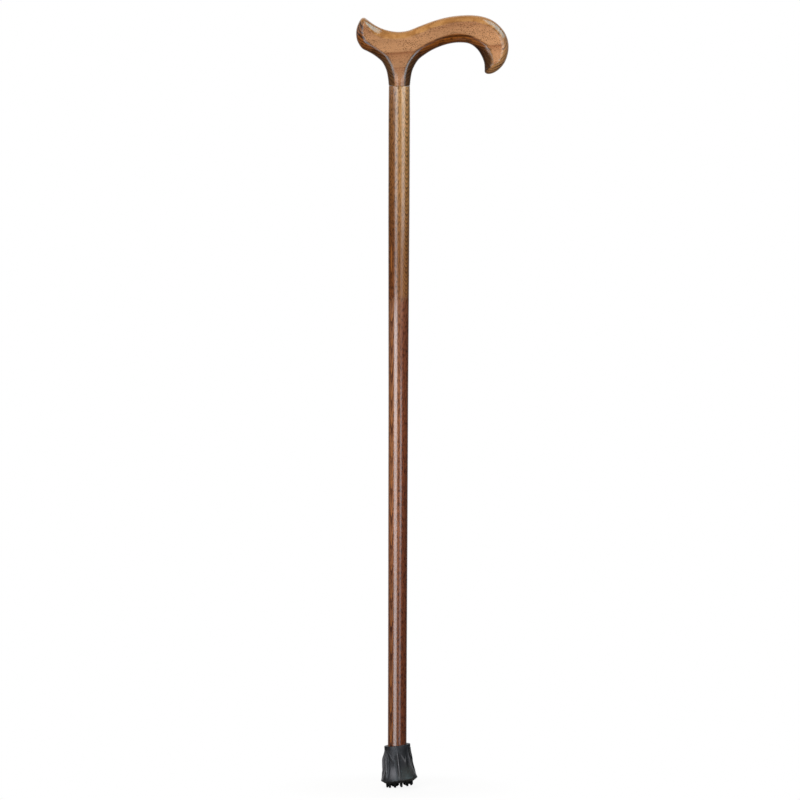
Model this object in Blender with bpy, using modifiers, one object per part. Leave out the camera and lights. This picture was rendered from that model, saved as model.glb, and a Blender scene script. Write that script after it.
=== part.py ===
"""A derby walking stick: a sawn and shaped wooden handle doweled to a tapered wooden shaft, with a
push-on rubber ferrule on the shaft's foot.

Metres, +Z up. The shaft's axis is the Z axis, and the origin is where that axis meets the ends of the
ferrule's studs. +X points along the handle towards its hook, and the handle is alike on both sides of
Y = 0.
"""

import math

import bmesh
import bpy
from mathutils import Matrix, Vector

MM = 0.001

# Gap that one piece keeps to the piece it touches
FIT_GAP = 0.3 * MM

# Shaft: turned, widest a little below the handle, then tapering to a parallel foot
SHAFT_LENGTH = 690.0 * MM
SHAFT_TOP_DIAMETER = 21.3 * MM
SHAFT_WIDEST_DIAMETER = 21.7 * MM
SHAFT_FOOT_DIAMETER = 19.0 * MM
# Place along the shaft from its top, and what is left there of the taper from widest to foot
SHAFT_TAPER = ((0.05, 1.0), (0.18, 0.93), (0.31, 0.67), (0.45, 0.37), (0.64, 0.22), (0.82, 0.04))
SHAFT_FOOT_CHAMFER = 1.0 * MM

# Dowel that joins handle and shaft
DOWEL_DIAMETER = 10.0 * MM
DOWEL_LENGTH = 60.0 * MM
DOWEL_DEPTH_IN_HANDLE = 30.0 * MM
DOWEL_CHAMFER = 1.2 * MM
DOWEL_FLUTES = 12
DOWEL_FLUTE_DEPTH = 0.4 * MM

# Handle: a plank on edge, its edges worked to an arc that meets each flat side at a crease
HANDLE_THICKNESS = 25.0 * MM
EDGE_ARC = math.radians(62.0)
# Neck, both sides alike: height above the joint, how much wider than the joint its side is there, and
# half the width of its front. The front is as round as the shaft at the joint, and flat from
# NECK_ROUND_HEIGHT up.
NECK = ((0.0, 0.0, 6.2), (7.5, 0.85, 6.4), (15.5, 2.6, 7.4), (23.5, 6.75, 9.9))
NECK_ROUND_HEIGHT = 30.0 * MM
# The neck's edges run out towards the joint: below this share of its way to the head they are soft
NECK_SOFT_SHARE = 0.15
# Head, from the neck round the horn, over the top, round the hook and back under the arm, in millimetres
# from the shaft's axis and the joint: a point of the outline, and the point of the flat side's border
# that the edge's arc runs to
HEAD = (
    (-21.5, 27.3, -12.6, 29.1),
    (-26.7, 31.0, -17.4, 33.6),
    (-31.8, 33.8, -24.0, 38.0),
    (-37.0, 36.5, -29.6, 41.7),
    (-40.5, 41.0, -34.3, 45.3),
    (-42.7, 46.0, -36.4, 49.7),
    (-43.4, 51.5, -37.2, 53.7),
    (-42.9, 56.6, -36.8, 57.9),
    (-41.3, 61.4, -36.0, 61.9),
    (-39.2, 65.4, -35.6, 64.1),
    (-37.2, 67.3, -35.2, 64.6),
    (-35.0, 67.5, -34.7, 64.1),
    (-31.6, 65.2, -33.2, 61.7),
    (-26.4, 61.4, -29.6, 56.9),
    (-20.0, 57.8, -23.2, 51.3),
    (-11.0, 54.8, -13.6, 48.1),
    (-1.0, 53.6, -1.6, 48.1),
    (8.4, 54.8, 10.4, 49.9),
    (20.0, 59.4, 22.2, 54.5),
    (34.0, 64.6, 35.6, 59.7),
    (48.0, 68.4, 49.0, 63.5),
    (62.0, 70.2, 62.2, 65.3),
    (74.0, 70.3, 73.0, 65.4),
    (83.0, 69.0, 80.4, 64.2),
    (91.6, 65.9, 88.2, 61.5),
    (99.6, 60.0, 95.2, 56.7),
    (105.6, 52.2, 100.2, 50.7),
    (108.5, 44.0, 102.6, 43.9),
    (108.9, 36.6, 103.2, 37.7),
    (107.4, 28.8, 101.8, 30.9),
    (104.2, 21.8, 99.4, 25.9),
    (98.9, 15.9, 96.6, 23.3),
    (93.0, 12.4, 94.9, 22.5),
    (87.8, 11.7, 94.1, 22.3),
    (85.2, 13.4, 93.8, 22.5),
    (84.9, 17.4, 93.8, 23.9),
    (84.4, 23.0, 93.2, 27.5),
    (81.9, 29.6, 91.8, 33.3),
    (77.4, 36.4, 87.6, 40.5),
    (70.0, 41.7, 77.4, 47.1),
    (60.6, 43.0, 65.6, 51.1),
    (50.8, 42.0, 53.0, 51.3),
    (40.4, 38.9, 38.8, 46.9),
    (31.2, 34.6, 27.0, 41.5),
    (25.2, 30.7, 18.4, 35.9),
    (20.6, 27.2, 13.2, 29.3),
)

# Ferrule: a tube over a belled skirt with flat sides and finned corners, and studs under its sole.
# Heights are above the studs' ends.
FERRULE_HEIGHT = 41.8 * MM
FERRULE_TUBE_DIAMETER = 26.1 * MM
FERRULE_SKIRT_HEIGHT = 25.5 * MM
FERRULE_SOLE_DIAMETER = 36.4 * MM
SOLE_EDGE_HEIGHT = 7.8 * MM
SOLE_EDGE_THICKNESS = 0.7 * MM
SOLE_FACE_DIAMETER = 29.0 * MM
SKIRT_CURVE = 1.9
RUBBER_UNDER_SOCKET = 11.2 * MM
RIM_ROUND = 0.5 * MM
RIDGES = 7
RIDGE_TURN = math.radians(2.0)
# Above FERRULE_SKIRT_HEIGHT only the skirt's corners stand out of the tube, and they run out this far
# below the rim
PLAIN_COLLAR = 3.8 * MM
# Share of the skirt's height, from the sole up, in which its flat sides take shape
FACET_FADE = 0.4
# Each corner of the skirt carries a thin fin: how far it stands proud, and how much of the way to the
# middle of the skirt's flat side it takes up. On the side that the ferrule leans from, it is squeezed out.
FIN_PROUD = 0.5 * MM
FIN_WIDTH = 0.17
FIN_SQUEEZED_OUT = 1.9 * MM
# Above 1, this puts the squeezed place above the middle of the fin
FIN_SQUEEZE_RISE = 1.45
# The ferrule sits askew on the shaft: its sole stands off to +X, and its rim and sole rise towards +X,
# both as a share of the distance
FERRULE_LEAN = 0.063
FERRULE_TILT = 0.1086

# Studs under the sole, in three rings, each turned from the front
STUD_LENGTH = 4.4 * MM
STUD_DIAMETER = 2.7 * MM
STUD_TIP_DIAMETER = 2.1 * MM
STUD_ROOT = 1.0 * MM
OUTER_STUDS = 12
OUTER_STUD_RING = 12.4 * MM
OUTER_STUD_TURN = math.radians(9.0)
INNER_STUDS = 6
INNER_STUD_RING = 7.0 * MM
INNER_STUD_TURN = math.radians(13.0)
MIDDLE_STUDS = 3

# Steel disc in the ferrule's socket, under the shaft's end
WASHER_THICKNESS = 1.5 * MM
WASHER_CHAMFER = 0.2 * MM

# Heights that follow from the sizes above
WASHER_Z = RUBBER_UNDER_SOCKET + FIT_GAP
SHAFT_Z = WASHER_Z + WASHER_THICKNESS + FIT_GAP
SHAFT_TOP_Z = SHAFT_Z + SHAFT_LENGTH
HANDLE_Z = SHAFT_TOP_Z + FIT_GAP
SOCKET_RADIUS = SHAFT_FOOT_DIAMETER / 2 + FIT_GAP
RIDGE_TOP_HEIGHT = FERRULE_HEIGHT - PLAIN_COLLAR
TREAD_OFFSET = FERRULE_LEAN * FERRULE_HEIGHT

# A cutter stands at least this far out of the mouth of the bore it cuts
BORE_OVERRUN = 5.0 * MM

# How finely round surfaces are divided
SHAFT_SIDES = 48
DOWEL_SIDES = 4 * DOWEL_FLUTES
FERRULE_SIDES = 18 * RIDGES
STUD_SIDES = 10
FERRULE_ROWS = 14
STEPS_PER_STATION = 3
EDGE_STEPS = 5
NECK_COLUMNS = 6


def clear_scene():
    for obj in list(bpy.data.objects):
        bpy.data.objects.remove(obj, do_unlink=True)


def new_collection(name, hidden=False):
    collection = bpy.data.collections.new(name)
    bpy.context.scene.collection.children.link(collection)
    collection.hide_render = hidden
    return collection


def new_object(name, mesh, collection, z=0.0):
    obj = bpy.data.objects.new(name, mesh)
    obj.location.z = z
    collection.objects.link(obj)
    return obj


def mesh_from(name, bm):
    mesh = bpy.data.meshes.new(name)
    bmesh.ops.recalc_face_normals(bm, faces=bm.faces)
    bm.to_mesh(mesh)
    bm.free()
    return mesh


def shade(mesh, crease_degrees):
    mesh.shade_smooth()
    mesh.set_sharp_from_angle(angle=math.radians(crease_degrees))


def material(name, colour, roughness, metallic=0.0):
    made = bpy.data.materials.new(name)
    made.use_nodes = True
    principled = made.node_tree.nodes["Principled BSDF"]
    principled.inputs["Base Color"].default_value = (*colour, 1.0)
    principled.inputs["Roughness"].default_value = roughness
    principled.inputs["Metallic"].default_value = metallic
    made.diffuse_color = (*colour, 1.0)
    return made


def turned(name, profile, sides):
    """A solid turned about Z from (radius, height) points that run from the top down the outer side."""
    mesh = bpy.data.meshes.new(name)
    edges = [(i, i + 1) for i in range(len(profile) - 1)]
    mesh.from_pydata([(radius, 0.0, height) for radius, height in profile], edges, [])
    guide = bpy.data.objects.new(name + "_profile", mesh)
    bpy.context.scene.collection.objects.link(guide)
    screw = guide.modifiers.new("turn", "SCREW")
    screw.steps = screw.render_steps = sides
    screw.use_merge_vertices = True
    screw.merge_threshold = 0.00001
    graph = bpy.context.evaluated_depsgraph_get()
    solid = bpy.data.meshes.new_from_object(guide.evaluated_get(graph))
    solid.name = name
    bpy.data.objects.remove(guide)
    bpy.data.meshes.remove(mesh)
    return solid


def boolean(obj, name, operation, other):
    modifier = obj.modifiers.new(name, "BOOLEAN")
    modifier.operation = operation
    modifier.solver = "EXACT"
    modifier.object = other


def helper(name, mesh, collection, z=0.0):
    """An object that only cuts or joins another."""
    obj = new_object(name, mesh, collection, z)
    obj.hide_render = True
    obj.display_type = "WIRE"
    return obj


def bore_mesh(name, radius, bottom, top):
    """The cylinder that a bore takes away, between two heights."""
    bm = bmesh.new()
    bmesh.ops.create_cone(
        bm,
        cap_ends=True,
        segments=SHAFT_SIDES,
        radius1=radius,
        radius2=radius,
        depth=top - bottom,
        matrix=Matrix.Translation((0.0, 0.0, (top + bottom) / 2)),
    )
    return mesh_from(name, bm)


def through_points(points, steps):
    """Points of a smooth curve through the given ones, as a centripetal Catmull-Rom spline.

    The first two coordinates set the spacing, and the rest follow them.
    """
    vectors = [Vector(point) for point in points]
    first = vectors[0] * 2 - vectors[1]
    last = vectors[-1] * 2 - vectors[-2]
    padded = [first, *vectors, last]

    def knot(a, b):
        return math.sqrt(math.hypot(b[0] - a[0], b[1] - a[1]))

    curve = []
    for p0, p1, p2, p3 in zip(padded, padded[1:], padded[2:], padded[3:]):
        t1 = knot(p0, p1)
        t2 = t1 + knot(p1, p2)
        t3 = t2 + knot(p2, p3)
        for step in range(steps):
            t = t1 + (t2 - t1) * step / steps
            a1 = p0.lerp(p1, t / t1)
            a2 = p1.lerp(p2, (t - t1) / (t2 - t1))
            a3 = p2.lerp(p3, (t - t2) / (t3 - t2))
            b1 = a1.lerp(a2, t / t2)
            b2 = a2.lerp(a3, (t - t1) / (t3 - t1))
            curve.append(b1.lerp(b2, (t - t1) / (t2 - t1)))
    curve.append(vectors[-1])
    return curve


def handle_stations():
    """Stations round the handle, from one side of its foot to the other.

    Each is a point of the outline, the point of the flat side's border that belongs to it, as x and z, and
    the flatness: 0 at the foot, where the neck is as round as the shaft, and 1 on the head.
    """
    rows = []
    for height, flare, half_front in NECK:
        edge_x = SHAFT_TOP_DIAMETER / 2 + flare * MM
        share = height * MM / NECK_ROUND_HEIGHT
        flatness = share * share * (3 - 2 * share)
        rows.append((edge_x, height * MM, half_front * MM, height * MM, flatness))
    left = [(-row[0], row[1], -row[2], row[3], row[4]) for row in rows]
    head = [(*(value * MM for value in station), 1.0) for station in HEAD]
    return left + head + rows[::-1]


def neck_rung(bm, left, right, crown):
    """Points across the front or back of the neck, from the border on its left to the one on its right."""
    rung = [left]
    for column in range(1, NECK_COLUMNS):
        share = column / NECK_COLUMNS
        point = left.co.lerp(right.co, share)
        point.y += math.copysign(crown * 4 * share * (1 - share), point.y)
        rung.append(bm.verts.new(point))
    return [*rung, right]


def handle_mesh():
    """The handle before its bore: ribs across the edge at each station, closed by its front and back."""
    foot_radius = SHAFT_TOP_DIAMETER / 2
    foot_arc = math.acos(NECK[0][2] * MM / foot_radius)
    foot_half_thickness = foot_radius * math.sin(foot_arc)
    stations = through_points(handle_stations(), STEPS_PER_STATION)
    bm = bmesh.new()
    ribs = []
    flatnesses = []
    for edge_x, edge_z, border_x, border_z, flatness in stations:
        flatness = min(max(flatness, 0.0), 1.0)
        half_thickness = foot_half_thickness + (HANDLE_THICKNESS / 2 - foot_half_thickness) * flatness
        arc = foot_arc + (EDGE_ARC - foot_arc) * flatness
        rib = []
        for step in range(-EDGE_STEPS, EDGE_STEPS + 1):
            angle = arc * step / EDGE_STEPS
            inwards = (1 - math.cos(angle)) / (1 - math.cos(arc))
            x = edge_x + (border_x - edge_x) * inwards
            y = half_thickness * math.sin(angle) / math.sin(arc)
            z = edge_z + (border_z - edge_z) * inwards
            rib.append(bm.verts.new((x, y, z)))
        ribs.append(rib)
        flatnesses.append(flatness)
    for rib, following in zip(ribs, ribs[1:]):
        for a, b, c, d in zip(rib, rib[1:], following[1:], following):
            bm.faces.new((a, b, c, d))
    neck_ribs = len(NECK) * STEPS_PER_STATION
    feet = []
    for side in (0, -1):
        rungs = []
        for rib, facing_rib, flatness in zip(ribs[: neck_ribs + 1], ribs[::-1], flatnesses):
            crown = (foot_radius - foot_half_thickness) * (1 - flatness)
            rungs.append(neck_rung(bm, rib[side], facing_rib[side], crown))
        for rung, following in zip(rungs, rungs[1:]):
            for a, b, c, d in zip(rung, rung[1:], following[1:], following):
                bm.faces.new((a, b, c, d))
        head_border = [rib[side] for rib in ribs[neck_ribs : len(ribs) - neck_ribs]]
        bm.faces.new(head_border + rungs[-1][-2:0:-1])
        feet.append(rungs[0][1:-1])
        borders = zip(ribs, ribs[1:], flatnesses)
        for rib, following, flatness in borders:
            bm.edges.get((rib[side], following[side])).smooth = flatness < NECK_SOFT_SHARE
    foot = bm.faces.new(ribs[0] + feet[1] + ribs[-1][::-1] + feet[0][::-1])
    for edge in foot.edges:
        edge.smooth = False
    return mesh_from("handle", bm)


def make_handle(parts, cutters):
    mesh = handle_mesh()
    mesh.shade_smooth()
    obj = new_object("handle", mesh, parts, HANDLE_Z)
    obj.data.materials.append(material("handle_beech", (0.42, 0.23, 0.12), 0.28))
    depth = DOWEL_DEPTH_IN_HANDLE + FIT_GAP
    bore = bore_mesh("handle_bore", DOWEL_DIAMETER / 2 + FIT_GAP, -BORE_OVERRUN, depth)
    boolean(obj, "bore", "DIFFERENCE", helper("handle_bore", bore, cutters, HANDLE_Z))
    return obj


def make_shaft(parts, cutters):
    foot = SHAFT_FOOT_DIAMETER / 2
    widest = SHAFT_WIDEST_DIAMETER / 2
    profile = [(0.0, SHAFT_LENGTH), (SHAFT_TOP_DIAMETER / 2, SHAFT_LENGTH)]
    for place, left in SHAFT_TAPER:
        profile.append((foot + (widest - foot) * left, SHAFT_LENGTH * (1 - place)))
    # The part inside the ferrule is parallel, so that the ferrule slides off
    profile.append((foot, FERRULE_HEIGHT))
    profile.append((foot, SHAFT_FOOT_CHAMFER))
    profile.append((foot - SHAFT_FOOT_CHAMFER, 0.0))
    profile.append((0.0, 0.0))
    mesh = turned("shaft", profile, SHAFT_SIDES)
    shade(mesh, 30)
    obj = new_object("shaft", mesh, parts, SHAFT_Z)
    obj.data.materials.append(material("shaft_hardwood", (0.25, 0.09, 0.035), 0.25))
    depth = DOWEL_LENGTH - DOWEL_DEPTH_IN_HANDLE + FIT_GAP
    bore = bore_mesh("shaft_bore", DOWEL_DIAMETER / 2 + FIT_GAP, -depth, BORE_OVERRUN)
    boolean(obj, "bore", "DIFFERENCE", helper("shaft_bore", bore, cutters, SHAFT_TOP_Z))
    return obj


def make_dowel(parts):
    """A fluted glue dowel: its flutes let the glue out as it is driven in."""
    radius = DOWEL_DIAMETER / 2
    low = DOWEL_DEPTH_IN_HANDLE - DOWEL_LENGTH
    high = DOWEL_DEPTH_IN_HANDLE
    profile = (
        (0.0, high),
        (radius - DOWEL_CHAMFER, high),
        (radius, high - DOWEL_CHAMFER),
        (radius, low + DOWEL_CHAMFER),
        (radius - DOWEL_CHAMFER, low),
        (0.0, low),
    )
    mesh = turned("joining_dowel", profile, DOWEL_SIDES)
    flute_every = 2 * math.pi / DOWEL_FLUTES
    for vertex in mesh.vertices:
        across = math.hypot(vertex.co.x, vertex.co.y)
        turn = math.atan2(vertex.co.y, vertex.co.x) / flute_every
        if across > radius - DOWEL_CHAMFER / 2 and abs(turn - round(turn)) < 0.1:
            share = (across - DOWEL_FLUTE_DEPTH) / across
            vertex.co.x *= share
            vertex.co.y *= share
    shade(mesh, 20)
    obj = new_object("joining_dowel", mesh, parts, SHAFT_TOP_Z + FIT_GAP / 2)
    obj.data.materials.append(material("dowel_beech", (0.6, 0.4, 0.22), 0.6))
    return obj


def skirt_radius(angle, height):
    """The ferrule's outer radius at an angle from +X and a height above the studs' ends.

    The skirt has flat sides that bell out to the round sole, with a finned ridge at each corner. Where the
    skirt lies inside the tube, the tube shows.
    """
    tube = FERRULE_TUBE_DIAMETER / 2
    sole = FERRULE_SOLE_DIAMETER / 2
    rise = (height - SOLE_EDGE_HEIGHT) / (FERRULE_SKIRT_HEIGHT - SOLE_EDGE_HEIGHT)
    if rise < 1:
        middle = tube + (sole - tube) * (1 - rise) ** SKIRT_CURVE
    else:
        run_out = (height - FERRULE_SKIRT_HEIGHT) / (RIDGE_TOP_HEIGHT - FERRULE_SKIRT_HEIGHT)
        middle = tube - tube * (1 - math.cos(math.pi / RIDGES)) * run_out
    # Ridges are counted from the front, -Y, and one stands a little to the right of it. From a ridge to
    # the middle of a flat side, away runs from 0 to 1.
    sector = (angle + math.pi / 2 - RIDGE_TURN) / (2 * math.pi) * RIDGES
    away = 2 * abs(sector - round(sector))
    corner = middle / math.cos((1 - away) * math.pi / RIDGES) - middle
    ridge_rise = (height - SOLE_EDGE_HEIGHT) / (RIDGE_TOP_HEIGHT - SOLE_EDGE_HEIGHT)
    squeezed = max(0.0, -math.cos(angle)) * math.sin(math.pi * ridge_rise**FIN_SQUEEZE_RISE)
    fin = FIN_PROUD * math.sin(math.pi * ridge_rise) + FIN_SQUEEZED_OUT * squeezed**2
    skirt = middle + corner * min(1.0, rise / FACET_FADE) + fin * max(0.0, 1 - away / FIN_WIDTH)
    return max(tube, skirt)


def askew(point):
    """Where a point of the straight ferrule lies once the ferrule is pushed on askew."""
    x = point.x + FERRULE_LEAN * (FERRULE_HEIGHT - point.z)
    return Vector((x, point.y, point.z + FERRULE_TILT * x))


def ferrule_mesh():
    tube = FERRULE_TUBE_DIAMETER / 2
    profile = [
        (0.0, FERRULE_HEIGHT),
        (tube - RIM_ROUND, FERRULE_HEIGHT),
        (tube, FERRULE_HEIGHT - RIM_ROUND),
        (tube, RIDGE_TOP_HEIGHT),
    ]
    for row in range(1, FERRULE_ROWS + 1):
        height = RIDGE_TOP_HEIGHT + (SOLE_EDGE_HEIGHT - RIDGE_TOP_HEIGHT) * row / FERRULE_ROWS
        profile.append((FERRULE_SOLE_DIAMETER / 2, height))
    profile.append((FERRULE_SOLE_DIAMETER / 2, SOLE_EDGE_HEIGHT - SOLE_EDGE_THICKNESS))
    profile.append((SOLE_FACE_DIAMETER / 2, STUD_LENGTH))
    profile.append((0.0, STUD_LENGTH))
    mesh = turned("ferrule", profile, FERRULE_SIDES)
    for vertex in mesh.vertices:
        radius = math.hypot(vertex.co.x, vertex.co.y)
        if SOLE_EDGE_HEIGHT < vertex.co.z < RIDGE_TOP_HEIGHT - MM and radius > tube:
            angle = math.atan2(vertex.co.y, vertex.co.x)
            share = skirt_radius(angle, vertex.co.z) / radius
            vertex.co.x *= share
            vertex.co.y *= share
        vertex.co = askew(vertex.co)
    return mesh


def studs_mesh():
    """All studs of the sole, each rooted a little way inside it."""
    rings = (
        (OUTER_STUDS, OUTER_STUD_RING, OUTER_STUD_TURN),
        (INNER_STUDS, INNER_STUD_RING, INNER_STUD_TURN),
        # One stud of the middle ring stands under the shaft's axis
        (MIDDLE_STUDS, TREAD_OFFSET, -math.pi / 2),
    )
    bm = bmesh.new()
    for count, ring, turn in rings:
        for number in range(count):
            from_front = turn + 2 * math.pi * number / count
            place = Vector((ring * math.sin(from_front), -ring * math.cos(from_front), 0.0))
            place.z = (STUD_LENGTH + STUD_ROOT) / 2
            bmesh.ops.create_cone(
                bm,
                cap_ends=True,
                segments=STUD_SIDES,
                radius1=STUD_TIP_DIAMETER / 2,
                radius2=STUD_DIAMETER / 2,
                depth=STUD_LENGTH + STUD_ROOT,
                matrix=Matrix.Translation(place),
            )
    for vertex in bm.verts:
        vertex.co = askew(vertex.co)
    return mesh_from("ferrule_studs", bm)


def make_ferrule(parts, cutters):
    mesh = ferrule_mesh()
    shade(mesh, 30)
    obj = new_object("ferrule", mesh, parts)
    obj.data.materials.append(material("ferrule_rubber", (0.03, 0.03, 0.033), 0.5))
    boolean(obj, "studs", "UNION", helper("ferrule_studs", studs_mesh(), cutters))
    # The socket follows the shaft, not the leaning outside
    socket = bore_mesh("ferrule_socket", SOCKET_RADIUS, RUBBER_UNDER_SOCKET, FERRULE_HEIGHT + BORE_OVERRUN)
    boolean(obj, "socket", "DIFFERENCE", helper("ferrule_socket", socket, cutters))
    return obj


def make_washer(parts):
    radius = SOCKET_RADIUS - FIT_GAP
    profile = (
        (0.0, WASHER_THICKNESS),
        (radius - WASHER_CHAMFER, WASHER_THICKNESS),
        (radius, WASHER_THICKNESS - WASHER_CHAMFER),
        (radius, WASHER_CHAMFER),
        (radius - WASHER_CHAMFER, 0.0),
        (0.0, 0.0),
    )
    mesh = turned("ferrule_washer", profile, SHAFT_SIDES)
    shade(mesh, 20)
    obj = new_object("ferrule_washer", mesh, parts, WASHER_Z)
    obj.data.materials.append(material("washer_steel", (0.6, 0.6, 0.62), 0.35, 1.0))
    return obj


def build():
    clear_scene()
    parts = new_collection("derby_walking_stick")
    cutters = new_collection("cutters", hidden=True)
    stick = new_object("stick_axis", None, parts)
    pull_off = new_object("ferrule_axis", None, parts)
    pull_off.parent = stick
    for piece in (make_handle(parts, cutters), make_shaft(parts, cutters), make_dowel(parts)):
        piece.parent = stick
    for piece in (make_ferrule(parts, cutters), make_washer(parts)):
        piece.parent = pull_off


build()
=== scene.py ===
"""A derby walking stick in a plain studio: a shaped and lacquered wooden handle doweled to a turned wooden
shaft, with a studded rubber ferrule pushed on the shaft's foot.

Metres, in the part's frame: the shaft's axis is Z, +X points along the handle towards its hook, and the
floor is at the ends of the ferrule's studs.
"""

import math

import bmesh
import bpy
from mathutils import Matrix, Vector


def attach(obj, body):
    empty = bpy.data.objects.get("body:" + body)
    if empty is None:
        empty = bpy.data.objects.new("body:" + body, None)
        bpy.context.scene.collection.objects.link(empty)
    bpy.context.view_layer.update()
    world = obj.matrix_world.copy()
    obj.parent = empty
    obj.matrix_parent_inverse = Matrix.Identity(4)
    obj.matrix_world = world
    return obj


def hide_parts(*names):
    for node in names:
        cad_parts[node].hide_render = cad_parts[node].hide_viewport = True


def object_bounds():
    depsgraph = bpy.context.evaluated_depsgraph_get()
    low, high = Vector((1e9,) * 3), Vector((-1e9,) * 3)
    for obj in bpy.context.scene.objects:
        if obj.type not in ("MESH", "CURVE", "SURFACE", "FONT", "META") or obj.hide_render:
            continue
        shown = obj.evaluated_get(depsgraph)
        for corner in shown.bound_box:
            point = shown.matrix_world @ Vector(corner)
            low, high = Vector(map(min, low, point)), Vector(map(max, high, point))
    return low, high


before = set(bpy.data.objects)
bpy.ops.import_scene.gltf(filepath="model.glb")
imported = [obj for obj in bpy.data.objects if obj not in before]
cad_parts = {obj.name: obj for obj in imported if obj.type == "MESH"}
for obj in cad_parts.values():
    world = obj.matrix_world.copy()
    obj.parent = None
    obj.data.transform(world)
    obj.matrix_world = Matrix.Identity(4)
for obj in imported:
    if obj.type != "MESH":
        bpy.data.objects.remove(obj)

cad_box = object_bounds()
MM = 0.001

# ---- The view ----------------------------
# A long lens looks square at the handle's flat side, from a little above the stick's middle. A millimetre
# of the stick is a pixel of the 800 pixel picture.

VIEW_DISTANCE = 12.0
VIEW_HEIGHT_ANGLE = math.radians(4.8)
VIEW_ROLL = 0.00329
VIEW_CENTRE = (0.001685, 0.0, 0.3886)
VIEW_WIDTH = 0.8
FILM_WIDTH = 36.0


def new_object(name, data):
    obj = bpy.data.objects.new(name, data)
    bpy.context.scene.collection.objects.link(obj)
    return obj


lens = bpy.data.cameras.new("long_lens")
lens.sensor_width = FILM_WIDTH
lens.lens = FILM_WIDTH * VIEW_DISTANCE / VIEW_WIDTH
lens.clip_end = 100.0
camera = new_object("camera", lens)
camera.matrix_world = (
    Matrix.Translation(VIEW_CENTRE)
    @ Matrix.Rotation(math.pi / 2 - VIEW_HEIGHT_ANGLE, 4, "X")
    @ Matrix.Rotation(VIEW_ROLL, 4, "Z")
    @ Matrix.Translation((0.0, 0.0, VIEW_DISTANCE))
)
bpy.context.scene.camera = camera
bpy.context.scene.view_settings.view_transform = "Standard"


# ---- Studio ------------------------------
# A round white board on a white ground. Large soft lamps in front and behind, a little to the left, light
# the stick. Dimmer boxes are only mirrored: strips on both sides draw the lines of light on its lacquer,
# and one high up on the right gives the handle its sheen.


def linear(hex_code):
    """An sRGB hex colour as linear red, green, blue and alpha."""
    parts = [int(hex_code[place : place + 2], 16) / 255 for place in (0, 2, 4)]
    return (*(part / 12.92 if part <= 0.04045 else ((part + 0.055) / 1.055) ** 2.4 for part in parts), 1.0)


def feed(tree, node, inputs):
    """Set a node's inputs, by name or number, to a value, a node (its first shown output) or an output."""
    for name, value in inputs.items():
        if isinstance(value, bpy.types.Node):
            value = next(output for output in value.outputs if output.enabled)
        if isinstance(value, bpy.types.NodeSocket):
            tree.links.new(value, node.inputs[name])
        else:
            node.inputs[name].default_value = linear(value) if isinstance(value, str) else value


def add(tree, kind, inputs=None, stops=None, **settings):
    """Add a node to a tree, with its settings and links.

    A ramp gets its stops as place and hex colour, or place and grey. A Mix node mixes colours, its inputs
    6 and 7, unless its data type says otherwise (4 and 5 for vectors); input 0 is the share of the second.
    """
    if kind == "Mix":
        settings = {"data_type": "RGBA", **settings}
    node = tree.nodes.new("ShaderNode" + kind)
    for name, value in settings.items():
        setattr(node, name, value)
    if stops:
        elements = node.color_ramp.elements
        elements.remove(elements[1])
        for number, (place, shade) in enumerate(stops):
            element = elements[0] if number == 0 else elements.new(place)
            element.position = place
            element.color = linear(shade) if isinstance(shade, str) else (shade, shade, shade, 1.0)
    feed(tree, node, inputs or {})
    return node


FLOOR_RADIUS = 0.15
FLOOR_Z = cad_box[0].z
FLOOR_WHITE_SHARE = 0.9
# Where the board's shadow starts to fade, and where it has gone
SHADOW_FADE = (0.4 * FLOOR_RADIUS, 0.95 * FLOOR_RADIUS)

bm = bmesh.new()
bmesh.ops.create_circle(bm, cap_ends=True, segments=128, radius=FLOOR_RADIUS)
board = bpy.data.meshes.new("floor_board")
bm.to_mesh(board)
bm.free()
floor = new_object("floor_board", board)
floor.location.z = FLOOR_Z
# Where the ferrule has been pulled off, it still stands on the board
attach(floor, "ferrule")

# White card: the camera sees it white with the stick's shadow on it
card = bpy.data.materials.new("white_card")
card.use_nodes = True
tree = card.node_tree
tree.nodes.clear()
path = add(tree, "LightPath")
seen = add(tree, "Math", {
    0: path.outputs["Is Camera Ray"], 1: path.outputs["Is Transmission Ray"],
}, operation="MAXIMUM")
plain = add(tree, "BsdfDiffuse", {"Color": "9c9c9a"})
white = add(tree, "Emission", {"Color": "ffffff", "Strength": 1.0})
lit = add(tree, "BsdfDiffuse", {"Color": "ffffff"})
# Towards the board's edge the shadow fades into the white ground
from_stick = add(tree, "VectorMath", {0: add(tree, "TexCoord").outputs["Object"]}, operation="LENGTH")
fade = add(tree, "MapRange", {
    "Value": from_stick, "From Min": SHADOW_FADE[0], "From Max": SHADOW_FADE[1],
    "To Min": FLOOR_WHITE_SHARE, "To Max": 1.0,
}, interpolation_type="SMOOTHSTEP")
shown = add(tree, "MixShader", {0: fade, 1: lit, 2: white})
both = add(tree, "MixShader", {0: seen, 1: plain, 2: shown})
add(tree, "OutputMaterial", {"Surface": both})
board.materials.append(card)

# The white ground all round shows to the camera. Lacquer mirrors it only right behind the stick, and it
# gives little light
world = bpy.data.worlds.new("white_ground")
world.use_nodes = True
bpy.context.scene.world = world
tree = world.node_tree
tree.nodes.clear()
path = add(tree, "LightPath")
direction = add(tree, "TexCoord").outputs["Generated"]
backwards = add(tree, "SeparateXYZ", {"Vector": direction}).outputs["Y"]
behind = add(tree, "MapRange", {"Value": backwards, "From Min": 0.72, "From Max": 1.0})
mirrored = add(tree, "Mix", {0: behind, 6: (0.035, 0.035, 0.04, 1.0), 7: "ffffff"})
around = add(tree, "Mix", {0: path.outputs["Is Glossy Ray"], 6: (0.2, 0.2, 0.205, 1.0), 7: mirrored})
seen = add(tree, "Math", {
    0: path.outputs["Is Camera Ray"], 1: path.outputs["Is Transmission Ray"],
}, operation="MAXIMUM")
ground = add(tree, "Mix", {0: seen, 6: around, 7: "ffffff"})
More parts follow.
